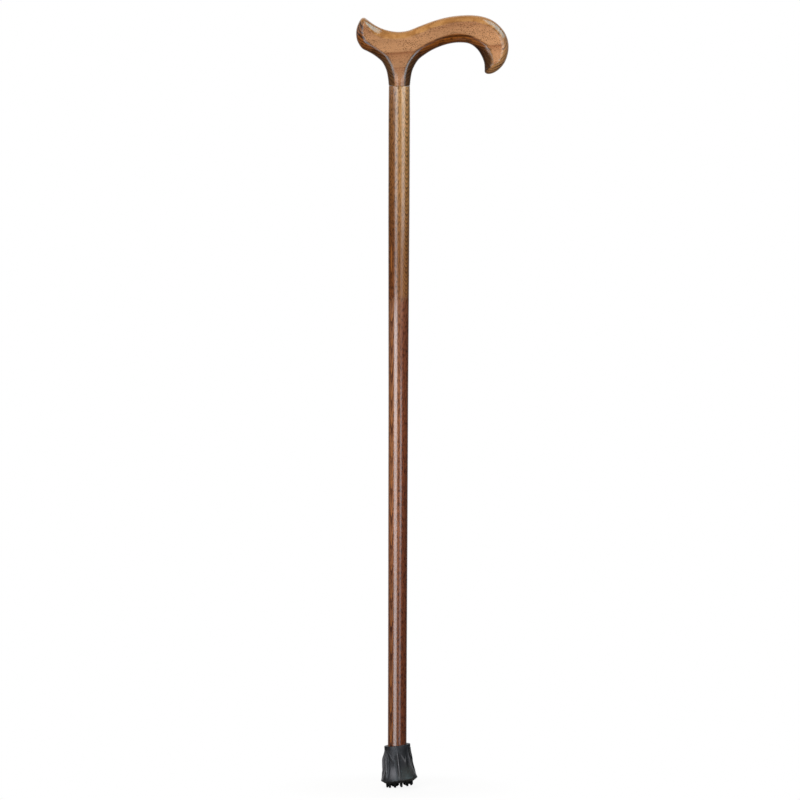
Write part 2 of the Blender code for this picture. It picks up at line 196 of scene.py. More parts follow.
add(tree, "OutputWorld", {"Surface": add(tree, "Background", {"Color": ground, "Strength": 1.0})})

# The light is cooler above the shaft's middle
COOL = (0.7, 0.87, 1.0)
WHITE = (0.83, 0.92, 1.0)
WARM = (1.0, 0.975, 0.945)
STRIP_DISTANCE = 0.65
# Name, azimuths of both sides from the front in degrees (to the right above 0), lower and upper end in
# metres, radiance, colour, and how wide a grid lets the light spread in degrees
STRIPS = (
    ("left_handle_strip", -70.0, -16.0, 0.665, 0.92, 3.0, COOL, 180.0),
    ("left_upper_strip", -44.0, -16.0, 0.5, 0.665, 2.5, COOL, 180.0),
    ("left_join_strip", -45.0, -16.0, 0.43, 0.5, 1.3, COOL, 180.0),
    ("left_middle_strip", -51.0, -13.0, 0.3, 0.43, 6.4, WHITE, 100.0),
    ("left_low_strip", -51.0, -12.0, 0.19, 0.3, 4.5, WHITE, 100.0),
    ("left_foot_strip", -48.0, -10.0, -0.07, 0.19, 4.2, WHITE, 100.0),
    ("right_handle_strip", 22.0, 72.0, 0.665, 0.92, 3.2, COOL, 180.0),
    ("right_upper_strip", 26.0, 62.0, 0.5, 0.665, 2.2, COOL, 180.0),
    ("right_join_strip", 18.0, 44.0, 0.44, 0.5, 1.0, COOL, 180.0),
    ("right_middle_strip", 20.0, 42.0, 0.19, 0.36, 2.6, WHITE, 100.0),
    ("right_foot_strip", 18.0, 40.0, -0.07, 0.19, 1.5, WHITE, 100.0),
    ("left_wing", -125.0, -80.0, 0.665, 1.0, 0.5, COOL, 180.0),
    ("right_wing", 90.0, 125.0, 0.665, 1.0, 0.25, COOL, 180.0),
)
# Name, place, aim, width, height, radiance and colour of the lamps that light the stick
LIGHT_BOXES = (
    ("front_box", (-0.4, -1.5, 1.5), (0.02, 0.0, 0.5), 1.8, 1.8, 3.3, WARM),
    ("back_box", (-0.2, 1.6, 1.5), (0.02, 0.0, 0.5), 1.5, 1.5, 2.9, WARM),
)
# The same, and its spread, of the box whose sheen lies on the handle's edges that face up and right
SHEEN_BOX = ("sheen_box", (0.8, 0.056, 1.458), (0.04, 0.0, 0.74), 1.5, 1.0, 6.3, (0.375, 0.83, 1.0), 95.0)
# Name, azimuth and radiance of two strips that stand low and lean at the neck, whose flare mirrors what
# stands lower. Their grids hide them from the shaft
NECK_STRIPS = (("left_neck_strip", -36.0, 2.3), ("right_neck_strip", 38.0, 7.0))
NECK_STRIP_Z = 0.42
NECK_STRIP_AIM = (0.0, 0.0, 0.74)
NECK_STRIP_SIZE = (0.4, 0.3)
NECK_STRIP_SPREAD = 36.0


def lamp(name, place, aim, width, height, radiance, tint, spread=180.0):
    """A soft box that faces a point and isn't seen."""
    light = bpy.data.lights.new(name, "AREA")
    light.shape = "RECTANGLE"
    light.size = width
    light.size_y = height
    # A grid makes the middle of a lamp brighter, which its power makes up for
    half_spread = math.radians(min(spread, 179.9)) / 2
    grid_loss = 1 - half_spread / math.tan(half_spread)
    light.energy = radiance * math.pi * width * height * grid_loss
    light.color = tint
    light.spread = math.radians(spread)
    box = new_object(name, light)
    box.location = place
    box.rotation_euler = (Vector(aim) - Vector(place)).to_track_quat("-Z", "Y").to_euler()
    box.visible_camera = False
    return box


def beside(azimuth, height):
    """A strip's place, at an azimuth in degrees from the front."""
    turn = math.radians(azimuth)
    return (STRIP_DISTANCE * math.sin(turn), -STRIP_DISTANCE * math.cos(turn), height)


# The large boxes light the stick and aren't mirrored in its lacquer, and the others are only mirrored
for box in LIGHT_BOXES:
    lamp(*box).visible_glossy = False
only_mirrored = []
for name, start, end, low, high, radiance, tint, spread in STRIPS:
    middle = (low + high) / 2
    width = 2 * STRIP_DISTANCE * math.tan(math.radians((end - start) / 2))
    place = beside((start + end) / 2, middle)
    only_mirrored.append(lamp(name, place, (0.0, 0.0, middle), width, high - low, radiance, tint, spread))
only_mirrored.append(lamp(*SHEEN_BOX))
for name, azimuth, radiance in NECK_STRIPS:
    place = beside(azimuth, NECK_STRIP_Z)
    strip = lamp(name, place, NECK_STRIP_AIM, *NECK_STRIP_SIZE, radiance, COOL, NECK_STRIP_SPREAD)
    only_mirrored.append(strip)
for box in only_mirrored:
    box.visible_diffuse = False


# ---- Shaft -------------------------------
# A hardwood square turned to a slightly tapered rod, bored at the top for the dowel, then stained and
# lacquered glossy. It is glued to the handle, and its parallel foot is pushed into the ferrule.

SHAFT_FOOT_Z = 13.3 * MM
SHAFT_LENGTH = 690.0 * MM
SHAFT_TOP_DIAMETER = 21.3 * MM
SHAFT_WIDEST_DIAMETER = 21.7 * MM
SHAFT_FOOT_DIAMETER = 19.0 * MM
# Place along the shaft from its top, and what is left there of the taper from widest to foot
SHAFT_TAPER = ((0.05, 1.0), (0.18, 0.93), (0.31, 0.67), (0.45, 0.37), (0.64, 0.22), (0.82, 0.04))
SHAFT_PARALLEL_FOOT = 41.8 * MM
SHAFT_FOOT_CHAMFER = 1.0 * MM
SHAFT_TOP_ARRIS = 0.25 * MM
DOWEL_BORE_DIAMETER = 10.6 * MM
DOWEL_BORE_DEPTH = 30.3 * MM
SHAFT_SIDES = 144
SHAFT_TOP_Z = SHAFT_FOOT_Z + SHAFT_LENGTH


def turned(name, profile, sides):
    """A mesh turned about Z from (radius, height) points, closed where a point lies on the axis."""
    bm = bmesh.new()
    rings = []
    for radius, height in profile:
        if radius == 0:
            rings.append([bm.verts.new((0.0, 0.0, height))] * sides)
            continue
        turns = [2 * math.pi * side / sides for side in range(sides)]
        rings.append([bm.verts.new((radius * math.cos(t), radius * math.sin(t), height)) for t in turns])
    for ring, following in zip(rings, rings[1:]):
        for side in range(sides):
            corners = (ring[side], ring[side - 1], following[side - 1], following[side])
            bm.faces.new(dict.fromkeys(corners))
    return mesh_from(name, bm)


def mesh_from(name, bm):
    mesh = bpy.data.meshes.new(name)
    bmesh.ops.recalc_face_normals(bm, faces=bm.faces)
    bm.to_mesh(mesh)
    bm.free()
    mesh.shade_smooth()
    return mesh


def new_finish(name):
    """A new material, its nodes, its shader, and the place on the stick in metres."""
    finish = bpy.data.materials.new(name)
    finish.use_nodes = True
    tree = finish.node_tree
    return finish, tree, tree.nodes["Principled BSDF"], add(tree, "TexCoord").outputs["Object"]


def grain(tree, place, waves, detail, roughness=0.5):
    """The uneven figure of wood, with a number of waves to a metre in each direction."""
    drawn_out = add(tree, "VectorMath", {0: place, 1: waves}, operation="MULTIPLY")
    noise = {"Vector": drawn_out, "Scale": 1.0, "Detail": detail, "Roughness": roughness}
    return add(tree, "TexNoise", noise)


def new_piece(name, mesh, finish):
    mesh.materials.append(finish)
    return new_object(name, mesh)


foot = SHAFT_FOOT_DIAMETER / 2
widest = SHAFT_WIDEST_DIAMETER / 2
top = SHAFT_TOP_DIAMETER / 2
bore = DOWEL_BORE_DIAMETER / 2
profile = [
    (0.0, SHAFT_TOP_Z - DOWEL_BORE_DEPTH),
    (bore, SHAFT_TOP_Z - DOWEL_BORE_DEPTH),
    (bore, SHAFT_TOP_Z),
    (top - SHAFT_TOP_ARRIS, SHAFT_TOP_Z),
    (top, SHAFT_TOP_Z - SHAFT_TOP_ARRIS),
]
for place, left in SHAFT_TAPER:
    profile.append((foot + (widest - foot) * left, SHAFT_TOP_Z - SHAFT_LENGTH * place))
profile += [
    (foot, SHAFT_FOOT_Z + SHAFT_PARALLEL_FOOT),
    (foot, SHAFT_FOOT_Z + SHAFT_FOOT_CHAMFER),
    (foot - SHAFT_FOOT_CHAMFER, SHAFT_FOOT_Z),
    (0.0, SHAFT_FOOT_Z),
]
shaft_mesh = turned("shaft_rod", profile, SHAFT_SIDES)
shaft_mesh.set_sharp_from_angle(angle=math.radians(30))

# Turned hardwood under gloss lacquer: growth rings cut on the round show as long tongues where the lathe
# meets them flat, and as nested arches where the grain runs out faster. The stain is yellow-brown at the
# top and red-brown below.
RING_SPACING = 0.55 * MM
# The rings' own direction, seen from above: towards this side of the rod they lie flat to its surface
LOWER_RINGS_FACE = (math.sin(math.radians(-42)), -math.cos(math.radians(-42)), 0.0)
UPPER_RINGS_FACE = (math.sin(math.radians(46)), -math.cos(math.radians(46)), 0.0)
# How fast the grain runs out of the rod, as ring depth for length
LOWER_RUN_OUT = 0.0175
UPPER_RUN_OUT = 0.12
# Height of the stain's change, and the length that it takes
STAIN_CHANGE_Z = 0.4905
STAIN_CHANGE_LENGTH = 10.0 * MM
TONGUE_PLACE = (-7.5 * MM, -7.7 * MM, 0.5305)

shaft_wood, tree, surface, place = new_finish("turned_hardwood_gloss_lacquer")
height = add(tree, "SeparateXYZ", {"Vector": place}).outputs["Z"]
upper = add(tree, "MapRange", {
    "Value": height,
    "From Min": STAIN_CHANGE_Z - STAIN_CHANGE_LENGTH / 2,
    "From Max": STAIN_CHANGE_Z + STAIN_CHANGE_LENGTH / 2,
}, interpolation_type="SMOOTHSTEP")
# Slow wander of the rings: 50 mm long waves, 0.2 mm deep
wander = grain(tree, place, (70.0, 70.0, 20.0), detail=1.0)
wander = add(tree, "MapRange", {"Value": wander, "To Min": -0.2 * MM, "To Max": 0.2 * MM})
face = add(tree, "Mix", {0: upper, 4: LOWER_RINGS_FACE, 5: UPPER_RINGS_FACE}, data_type="VECTOR")
depth = add(tree, "VectorMath", {0: place, 1: face}, operation="DOT_PRODUCT")
from_heart = add(tree, "Math", {0: depth}, operation="ABSOLUTE")
run_out = add(tree, "MapRange", {"Value": upper, "To Min": LOWER_RUN_OUT, "To Max": UPPER_RUN_OUT})
above = add(tree, "Math", {0: height, 1: STAIN_CHANGE_Z}, operation="SUBTRACT")
climb = add(tree, "Math", {0: above, 1: run_out}, operation="MULTIPLY")
rings = add(tree, "Math", {0: depth, 1: climb}, operation="ADD")
rings = add(tree, "Math", {0: rings, 1: wander}, operation="ADD")
rings = add(tree, "Math", {0: rings, 1: 1 / RING_SPACING}, operation="MULTIPLY")
ring = add(tree, "Math", {0: rings}, operation="FRACT")
# Late wood is darker, and ends sharply where the next ring begins. Each year has its own strength
late = add(tree, "ValToRGB", {"Fac": ring}, stops=(
    (0.0, 0.0), (0.3, 0.05), (0.5, 0.4), (0.75, 0.9), (0.95, 1.0), (1.0, 0.0),
))
year = add(tree, "Math", {0: rings}, operation="FLOOR")
year = add(tree, "TexWhiteNoise", {"W": year}, noise_dimensions="1D")
year = add(tree, "MapRange", {"Value": year, "To Min": 0.65, "To Max": 1.0})
late = add(tree, "Math", {0: late, 1: year}, operation="MULTIPLY")
early = add(tree, "ValToRGB", {"Fac": ring}, stops=((0.0, 1.0), (0.35, 0.0)))
# Where the rings stand on edge, between the two sides where they lie flat, they run into fine lines
flat_rings = add(tree, "MapRange", {"Value": from_heart, "From Min": 6.5 * MM, "From Max": 9.2 * MM})
clear = add(tree, "MapRange", {"Value": flat_rings, "To Min": 0.25, "To Max": 1.0})
late = add(tree, "Math", {0: late, 1: clear}, operation="MULTIPLY")
early = add(tree, "Math", {0: early, 1: flat_rings}, operation="MULTIPLY")
# Streaks of darker growth: 1.5 mm wide, 20 mm long
streaks = grain(tree, place, (650.0, 650.0, 50.0), detail=2.0, roughness=0.6)
streak = add(tree, "ValToRGB", {"Fac": streaks}, stops=((0.36, 1.0), (0.56, 0.0)))
# Pores: 3.5 mm long; really 0.2 mm wide, drawn 1 mm wide so that they show
pores = grain(tree, place, (1050.0, 1050.0, 280.0), detail=1.0)
pore = add(tree, "ValToRGB", {"Fac": pores}, stops=((0.38, 1.0), (0.5, 0.0)))
glints = add(tree, "ValToRGB", {"Fac": pores}, stops=((0.54, 0.0), (0.64, 1.0)))
# The pores hide the flat rings less
strong = add(tree, "MapRange", {"Value": flat_rings, "To Min": 1.0, "To Max": 0.5})
pore = add(tree, "Math", {0: pore, 1: strong}, operation="MULTIPLY")
along = add(tree, "MapRange", {"Value": height, "From Min": 0.03, "From Max": 0.71})
light_stain = add(tree, "ValToRGB", {"Fac": along}, stops=(
    (0.0, "9c6341"), (0.2, "a36746"), (0.34, "be7b53"), (0.5, "be7e52"), (0.62, "b17754"),
    (0.668, "ad7552"), (0.686, "a06c42"), (0.75, "9d6a3c"), (0.83, "ba8855"), (0.95, "c99a66"),
    (1.0, "d4a672"),
))
dark_stain = add(tree, "ValToRGB", {"Fac": along}, stops=(
    (0.0, "421f12"), (0.34, "4a2214"), (0.6, "4e2818"), (0.668, "4a2716"), (0.686, "48280f"),
    (0.77, "4a2a10"), (0.85, "583614"), (0.94, "603d1c"), (1.0, "6c4523"),
))
# Between the flat rings the wood is palest, in the lower part orange. The paleness is partly painted
# light, on the rod's left front below
sap_and_light = add(tree, "Mix", {0: upper, 6: (1.1, 1.1, 1.02, 1.0), 7: (1.6, 1.55, 1.2, 1.0)})
sap_and_light = add(tree, "Mix", {0: flat_rings, 6: "ffffff", 7: sap_and_light})
stain_and_shading = add(tree, "Mix", {0: 1.0, 6: light_stain, 7: sap_and_light}, blend_type="MULTIPLY")
orange = add(tree, "MapRange", {"Value": upper, "To Min": 0.7, "To Max": 0.2})
orange = add(tree, "Math", {0: early, 1: orange}, operation="MULTIPLY")
stain_and_shading = add(tree, "Mix", {0: orange, 6: stain_and_shading, 7: "c97a30"})
for mark, share, shade in (
    (late, 0.95, dark_stain),
    (streak, 0.32, dark_stain),
    (pore, 0.75, dark_stain),
    (glints, 0.5, light_stain),
):
    mark = add(tree, "Math", {0: mark, 1: share}, operation="MULTIPLY")
    stain_and_shading = add(tree, "Mix", {0: mark, 6: stain_and_shading, 7: shade})
# Where the rings stand on edge, the wood is darker. This is partly painted shade, on the rod's right front
# below and on its left front above
heart_start = add(tree, "MapRange", {"Value": upper, "To Min": 4.2 * MM, "To Max": 2.5 * MM})
heart_end = add(tree, "MapRange", {"Value": upper, "To Min": 8.0 * MM, "To Max": 7.0 * MM})
heart_side_shade = add(tree, "MapRange", {
    "Value": from_heart, "From Min": heart_start, "From Max": heart_end,
}, interpolation_type="SMOOTHSTEP")
heart_side_shade_colour = add(tree, "ValToRGB", {"Fac": along}, stops=(
    (0.2, "e7c8b1"), (0.34, "c5aa9b"), (0.5, "dab8a6"), (0.672, "eacbb8"), (0.682, "e7c89e"),
    (0.8, "cbb18b"),
))
heart_side_shade = add(tree, "Mix", {0: heart_side_shade, 6: heart_side_shade_colour, 7: "ffffff"})
stain_and_shading = add(tree, "Mix", {0: 1.0, 6: stain_and_shading, 7: heart_side_shade}, blend_type="MULTIPLY")
# A tongue of early wood stands alone on the left, with a dark rim
from_tongue = add(tree, "VectorMath", {0: place, 1: TONGUE_PLACE}, operation="SUBTRACT")
from_tongue = add(tree, "VectorMath", {0: from_tongue, 1: (600.0, 600.0, 48.0)}, operation="MULTIPLY")
from_tongue = add(tree, "VectorMath", {0: from_tongue}, operation="LENGTH")
rim = add(tree, "ValToRGB", {"Fac": from_tongue}, stops=((0.65, 0.0), (0.95, 0.6), (1.0, 0.0)))
stain_and_shading = add(tree, "Mix", {0: rim, 6: stain_and_shading, 7: dark_stain})
tongue = add(tree, "ValToRGB", {"Fac": from_tongue}, stops=((0.55, 0.85), (0.75, 0.0)))
stain_and_shading = add(tree, "Mix", {0: tongue, 6: stain_and_shading, 7: "b06a2c"})
# The lacquer sinks a few hundredths of a millimetre into the pores
relief = add(tree, "Bump", {"Height": pores, "Strength": 0.25, "Distance": 0.05 * MM})
feed(tree, surface, {
    "Base Color": stain_and_shading, "Roughness": 0.25, "IOR": 1.5, "Normal": relief,
    "Coat Weight": 1.0, "Coat Roughness": 0.12, "Coat IOR": 1.55,
})

shaft = new_piece("shaft_rod", shaft_mesh, shaft_wood)
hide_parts("shaft")
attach(shaft, "stick")


# ---- Joining dowel -----------------------
# A fluted beech dowel, glued half into the shaft and half into the handle. It is bought ready made,
# planed and left bare.

dowel_wood, tree, surface, place = new_finish("bare_planed_beech")
# Rays and pores: 2 mm long, 0.3 mm wide
streaks = grain(tree, place, (3000.0, 3000.0, 450.0), detail=2.0)
bare = add(tree, "ValToRGB", {"Fac": streaks}, stops=((0.3, "b98b5c"), (0.5, "cfa676"), (0.75, "dcb78a")))
relief = add(tree, "Bump", {"Height": streaks, "Strength": 0.3, "Distance": 0.05 * MM})
feed(tree, surface, {"Base Color": bare, "Roughness": 0.65, "Normal": relief})
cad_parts["joining_dowel"].material_slots[0].material = dowel_wood


# ---- Handle ------------------------------
# A beech plank on edge, sawn to the derby shape, its edges worked round with a cutter to a soft crease
# on each flat side, bored for the dowel, stained and lacquered satin. It is glued on the shaft's top.

HANDLE_Z = 703.6 * MM
HANDLE_THICKNESS = 25.0 * MM
EDGE_ARC = math.radians(62.0)
# Neck, both sides alike, in millimetres: height above the joint, how much wider than the joint its side
# is there, half the width of its front
NECK = ((0.0, 0.0, 5.2), (7.5, 0.85, 5.4), (15.5, 2.6, 6.5), (23.5, 6.75, 9.1))
NECK_ROUND_HEIGHT = 30.0 * MM
# Head, from the neck round the horn, over the top, round the hook and back under the arm, in millimetres
# from the shaft's axis and the joint: a point of the outline, the point of the flat side's border that
# the edge's arc runs to, and how far the crease's rounding reaches into the flat side there
HEAD = (
    (-21.5, 27.3, -12.1, 29.1, 2.6),
    (-26.7, 31.0, -17.4, 33.6, 2.6),
    (-31.8, 33.8, -24.0, 38.0, 2.6),
    (-37.0, 36.5, -29.6, 41.7, 2.6),
    (-40.5, 41.0, -34.3, 45.3, 2.6),
    (-42.7, 46.0, -36.4, 49.7, 2.4),
    (-43.4, 51.5, -37.2, 53.7, 2.0),
    (-42.9, 56.6, -36.8, 57.9, 1.3),
    (-41.3, 61.4, -36.0, 61.9, 0.6),
    (-39.2, 65.4, -35.6, 64.1, 0.3),
    (-37.2, 67.3, -35.2, 64.6, 0.2),
    (-35.0, 67.5, -34.7, 64.1, 0.3),
    (-31.6, 65.2, -33.2, 61.7, 0.6),
    (-26.4, 61.4, -29.6, 56.9, 1.4),
    (-20.0, 57.8, -23.2, 51.3, 2.2),
    (-11.0, 54.8, -13.6, 48.1, 2.4),
    (-1.0, 53.6, -1.6, 48.1, 2.4),
    (8.4, 54.8, 10.4, 49.9, 2.4),
    (20.0, 59.4, 22.2, 54.5, 2.4),
    (34.0, 64.6, 35.6, 59.7, 2.4),
    (48.0, 68.4, 49.0, 63.5, 2.4),
    (62.0, 70.2, 62.2, 65.3, 2.4),
    (74.0, 70.3, 73.0, 65.4, 2.4),
    (83.0, 69.0, 80.4, 64.2, 2.4),
    (91.6, 65.9, 88.2, 61.5, 2.4),
    (99.6, 60.0, 95.2, 56.7, 2.4),
    (105.6, 52.2, 100.2, 50.7, 2.4),
    (108.5, 44.0, 102.6, 43.9, 2.4),
    (108.9, 36.6, 103.2, 37.7, 2.3),
    (107.4, 28.8, 101.8, 30.9, 1.6),
    (104.2, 21.8, 99.4, 25.9, 0.9),
    (98.9, 15.9, 96.6, 23.3, 0.4),
    (93.0, 12.4, 94.9, 22.5, 0.25),
    (87.8, 11.7, 94.1, 22.3, 0.2),
    (85.2, 13.4, 93.8, 22.5, 0.25),
    (84.9, 17.4, 93.8, 23.9, 0.4),
    (84.4, 23.0, 93.2, 27.5, 1.0),
    (81.9, 29.6, 91.8, 33.3, 1.8),
    (77.4, 36.4, 87.6, 40.5, 2.4),
    (70.0, 41.7, 77.4, 47.1, 2.4),
    (60.6, 43.0, 65.6, 51.1, 2.4),
    (50.8, 42.0, 53.0, 51.3, 2.4),
    (40.4, 38.9, 38.8, 46.9, 2.4),
    (31.2, 34.6, 27.0, 41.5, 2.4),
    (25.2, 30.7, 18.4, 35.9, 2.6),
    (20.6, 27.2, 12.7, 29.3, 2.6),
)
# The same reach on the neck, and the share of it that is left at the joint
NECK_CREASE = 2.6
NECK_CREASE_LEFT = 0.4
# The most of an edge's arc that gives way to the crease's rounding
ARC_GIVEN_UP = 0.25
STEPS_PER_STATION = 6
ARC_STEPS = 9
CREASE_STEPS = 5
NECK_COLUMNS = 10


def spot(tree, place, middle, whole, gone, most=1.0, fall="LINEAR"):
    """A round spot of wear: the most of it up to one distance from its middle, and none beyond another."""
    away = add(tree, "VectorMath", {0: place, 1: middle}, operation="DISTANCE")
    edges = {"Value": away, "From Min": whole, "From Max": gone, "To Min": most, "To Max": 0.0}
    return add(tree, "MapRange", edges, interpolation_type=fall)


def through_points(points, steps):
    """Points of a smooth curve through the given ones, as a centripetal Catmull-Rom spline.

    The first two coordinates set the spacing, and the rest follow them.
    """
    padded = [points[0] * 2 - points[1], *points, points[-1] * 2 - points[-2]]
    curve = []
    for p0, p1, p2, p3 in zip(padded, padded[1:], padded[2:], padded[3:]):
        t1 = (p1 - p0).xy.length ** 0.5
        t2 = t1 + (p2 - p1).xy.length ** 0.5
        t3 = t2 + (p3 - p2).xy.length ** 0.5
        for step in range(steps):
            t = t1 + (t2 - t1) * step / steps
            a1 = p0.lerp(p1, t / t1)
            a2 = p1.lerp(p2, (t - t1) / (t2 - t1))
            a3 = p2.lerp(p3, (t - t2) / (t3 - t2))
            b1 = a1.lerp(a2, t / t2)
            b2 = a2.lerp(a3, (t - t1) / (t3 - t1))
            curve.append(b1.lerp(b2, (t - t1) / (t2 - t1)))
    curve.append(points[-1])
    return curve


neck_rows = []
for height, flare, half_front in NECK:
    share = height * MM / NECK_ROUND_HEIGHT
    flatness = share * share * (3 - 2 * share)
    crease = NECK_CREASE * (NECK_CREASE_LEFT + (1 - NECK_CREASE_LEFT) * min(1.0, 2 * flatness))
    neck_rows.append((SHAFT_TOP_DIAMETER / 2 / MM + flare, height, half_front, height, crease, flatness))
left_side = [(-row[0], row[1], -row[2], *row[3:]) for row in neck_rows]
stations = left_side + [(*station, 1.0) for station in HEAD] + neck_rows[::-1]
stations = through_points([Vector(station) for station in stations], STEPS_PER_STATION)

foot_radius = SHAFT_TOP_DIAMETER / 2
foot_arc = math.acos(NECK[0][2] * MM / foot_radius)
foot_half_thickness = foot_radius * math.sin(foot_arc)

bm = bmesh.new()
# For the stain and for painted light and shade: 1 where the cutter worked the wood and 0 on the flat
# sides, and there how far the edge faces up (1) or down (-1)
worked = bm.verts.layers.float.new("worked")
facing_up = bm.verts.layers.float.new("facing_up")
ribs = []
crowns = []
for edge_x, edge_z, border_x, border_z, crease, flatness in stations:
    flatness = min(max(flatness, 0.0), 1.0)
    edge = Vector((edge_x, edge_z)) * MM
    border = Vector((border_x, border_z)) * MM
    inwards = border - edge
    crease *= MM
    half_thickness = foot_half_thickness + (HANDLE_THICKNESS / 2 - foot_half_thickness) * flatness
    arc = foot_arc + (EDGE_ARC - foot_arc) * flatness
    crown = (foot_radius - foot_half_thickness) * (1 - flatness) ** 3
    crowns.append(crown)
    # The arc gives way to the crease's rounding a little before the border
    arc_end = arc * (1 - min(ARC_GIVEN_UP, 0.5 * crease / inwards.length))
    side = []
    for step in range(ARC_STEPS + 1):
        angle = arc_end * step / ARC_STEPS
        share = (1 - math.cos(angle)) / (1 - math.cos(arc))
        side.append((edge + inwards * share, half_thickness * math.sin(angle) / math.sin(arc), 1.0))
    start, start_y, _ = side[-1]
    width = 2 * border_x * MM
    across = crease / abs(width)
    end = border + inwards.normalized() * crease
    end_y = half_thickness + crown * 4 * across * (1 - across)
    for step in range(1, CREASE_STEPS + 1):
        t = step / CREASE_STEPS
        point = start * (1 - t) ** 2 + border * 2 * t * (1 - t) + end * t**2
        y = start_y * (1 - t) ** 2 + half_thickness * 2 * t * (1 - t) + end_y * t**2
        side.append((point, y, 1 - t))
    rib = []
    for sign, points in ((-1, side[:0:-1]), (1, side)):
        for point, y, worked_here in points:
            vertex = bm.verts.new((point.x, sign * y, HANDLE_Z + point.y))
            vertex[worked] = worked_here
            vertex[facing_up] = -inwards.normalized().y * worked_here
            rib.append(vertex)
    ribs.append(rib)
for rib, following in zip(ribs, ribs[1:]):
    for a, b, c, d in zip(rib, rib[1:], following[1:], following):
        bm.faces.new((a, b, c, d))
neck_ribs = len(NECK) * STEPS_PER_STATION
feet = []
for side in (0, -1):
    rungs = []
    for rib, facing_rib, crown in zip(ribs[: neck_ribs + 1], ribs[::-1], crowns):
        left, right = rib[side], facing_rib[side]
        rung = [left]
        for column in range(1, NECK_COLUMNS):
            share = column / NECK_COLUMNS
            point = left.co.lerp(right.co, share)
            point.y += math.copysign(crown * 4 * share * (1 - share), point.y)
            rung.append(bm.verts.new(point))
        rungs.append([*rung, right])
    for rung, following in zip(rungs, rungs[1:]):
        for a, b, c, d in zip(rung, rung[1:], following[1:], following):
            bm.faces.new((a, b, c, d))
    head_border = [rib[side] for rib in ribs[neck_ribs : len(ribs) - neck_ribs]]
    bm.faces.new(head_border + rungs[-1][-2:0:-1])
    feet.append(rungs[0][1:-1])
foot_face = bm.faces.new(ribs[0] + feet[1] + ribs[-1][::-1] + feet[0][::-1])
for edge in foot_face.edges:
    edge.smooth = False
handle_mesh = mesh_from("derby_handle", bm)

bm = bmesh.new()
bmesh.ops.create_cone(
    bm,
    cap_ends=True,
    segments=48,
    radius1=DOWEL_BORE_DIAMETER / 2,
    radius2=DOWEL_BORE_DIAMETER / 2,
    depth=2 * DOWEL_BORE_DEPTH,
    matrix=Matrix.Translation((0.0, 0.0, HANDLE_Z)),
)
drill = new_object("dowel_drill", mesh_from("dowel_drill", bm))

# Worked beech under satin lacquer: the flat sides show broad calm rings and short dark rays along the
# plank. The worked edges cut across the rings, show them as close stripes and have drunk more stain. On
# the edges light and shade are painted too: paler where they face up, darker where they face down.
# How much higher the rings lie for each millimetre into the plank, and for each one towards the hook
PLANK_RING_SLOPE = 1.1
PLANK_RING_RUN = 0.07
EDGE_STRIPE_SPACING = 5.0 * MM
# Where the rays are thickest, where hands rub the hook most and its painted light lies, and the hollow
# that is painted in shade
RAY_PATCH = (0.068, -0.0125, 0.762)
RUBBED_AND_LIT_PLACE = (0.112, 0.0, 0.725)
HOOK_HOLLOW = (0.0805, 0.0, 0.7285)

handle_wood, tree, surface, place = new_finish("worked_beech_satin_lacquer")
along_and_up = add(tree, "SeparateXYZ", {"Vector": place})
# Slow wander of the rings: 50 mm waves along the plank, 1.6 mm high
wander = grain(tree, place, (20.0, 40.0, 40.0), detail=4.0, roughness=0.55)
wander = add(tree, "MapRange", {"Value": wander, "To Min": -1.6 * MM, "To Max": 1.6 * MM})
across_rings = (-PLANK_RING_RUN, -PLANK_RING_SLOPE, 1.0)
rings = add(tree, "VectorMath", {0: place, 1: across_rings}, operation="DOT_PRODUCT")
rings = add(tree, "Math", {0: rings, 1: wander}, operation="ADD")
# Height of the ring on the front's flat side
rings = add(tree, "Math", {0: rings, 1: PLANK_RING_SLOPE * HANDLE_THICKNESS / 2}, operation="SUBTRACT")
in_plank = add(tree, "MapRange", {"Value": rings, "From Min": 0.67, "From Max": 0.77})
flat_stain = add(tree, "ValToRGB", {"Fac": in_plank}, stops=(
    (0.0, "cb9468"), (0.15, "b98259"), (0.17, "ab734e"), (0.185, "ca936a"), (0.325, "c28d62"),
    (0.342, "b37b54"), (0.355, "c48e64"), (0.462, "c8926a"), (0.475, "ae7753"), (0.484, "c8926a"),
    (0.499, "c48e66"), (0.509, "a66e4b"), (0.517, "cc976c"), (0.6, "c69066"), (0.65, "b98259"),
    (0.673, "a26b46"), (0.69, "d09a6d"), (0.75, "ce986b"), (0.85, "c69166"), (0.92, "b98259"),
    (1.0, "c79267"),
))
# On the edges the stripes are uneven: 7 mm waves, 1.5 mm deep
uneven = add(tree, "TexNoise", {"Vector": place, "Scale": 140.0, "Detail": 3.0, "Roughness": 0.6})
stripes = add(tree, "MapRange", {"Value": uneven, "To Min": -3.0 * MM, "To Max": 3.0 * MM})
stripes = add(tree, "Math", {0: rings, 1: stripes}, operation="ADD")
stripes = add(tree, "Math", {0: stripes, 1: 1 / EDGE_STRIPE_SPACING}, operation="MULTIPLY")
ring = add(tree, "Math", {0: stripes}, operation="FRACT")
# Rays: 1.2 mm long; really 0.2 mm high, drawn 0.5 mm high so that they show. They crowd in clouds
rays = grain(tree, place, (850.0, 1700.0, 1700.0), detail=1.5, roughness=0.55)
ray = add(tree, "ValToRGB", {"Fac": rays}, stops=((0.36, 1.0), (0.47, 0.0)))
crowd = add(tree, "TexNoise", {"Vector": place, "Scale": 110.0, "Detail": 3.0})
crowd = add(tree, "MapRange", {
    "Value": crowd, "From Min": 0.35, "From Max": 0.65, "To Min": 0.3, "To Max": 0.95,
})
# They are thickest in a patch on the arm
patch = spot(tree, place, RAY_PATCH, 6.0 * MM, 20.0 * MM)
crowd = add(tree, "Math", {0: crowd, 1: patch}, operation="MAXIMUM")
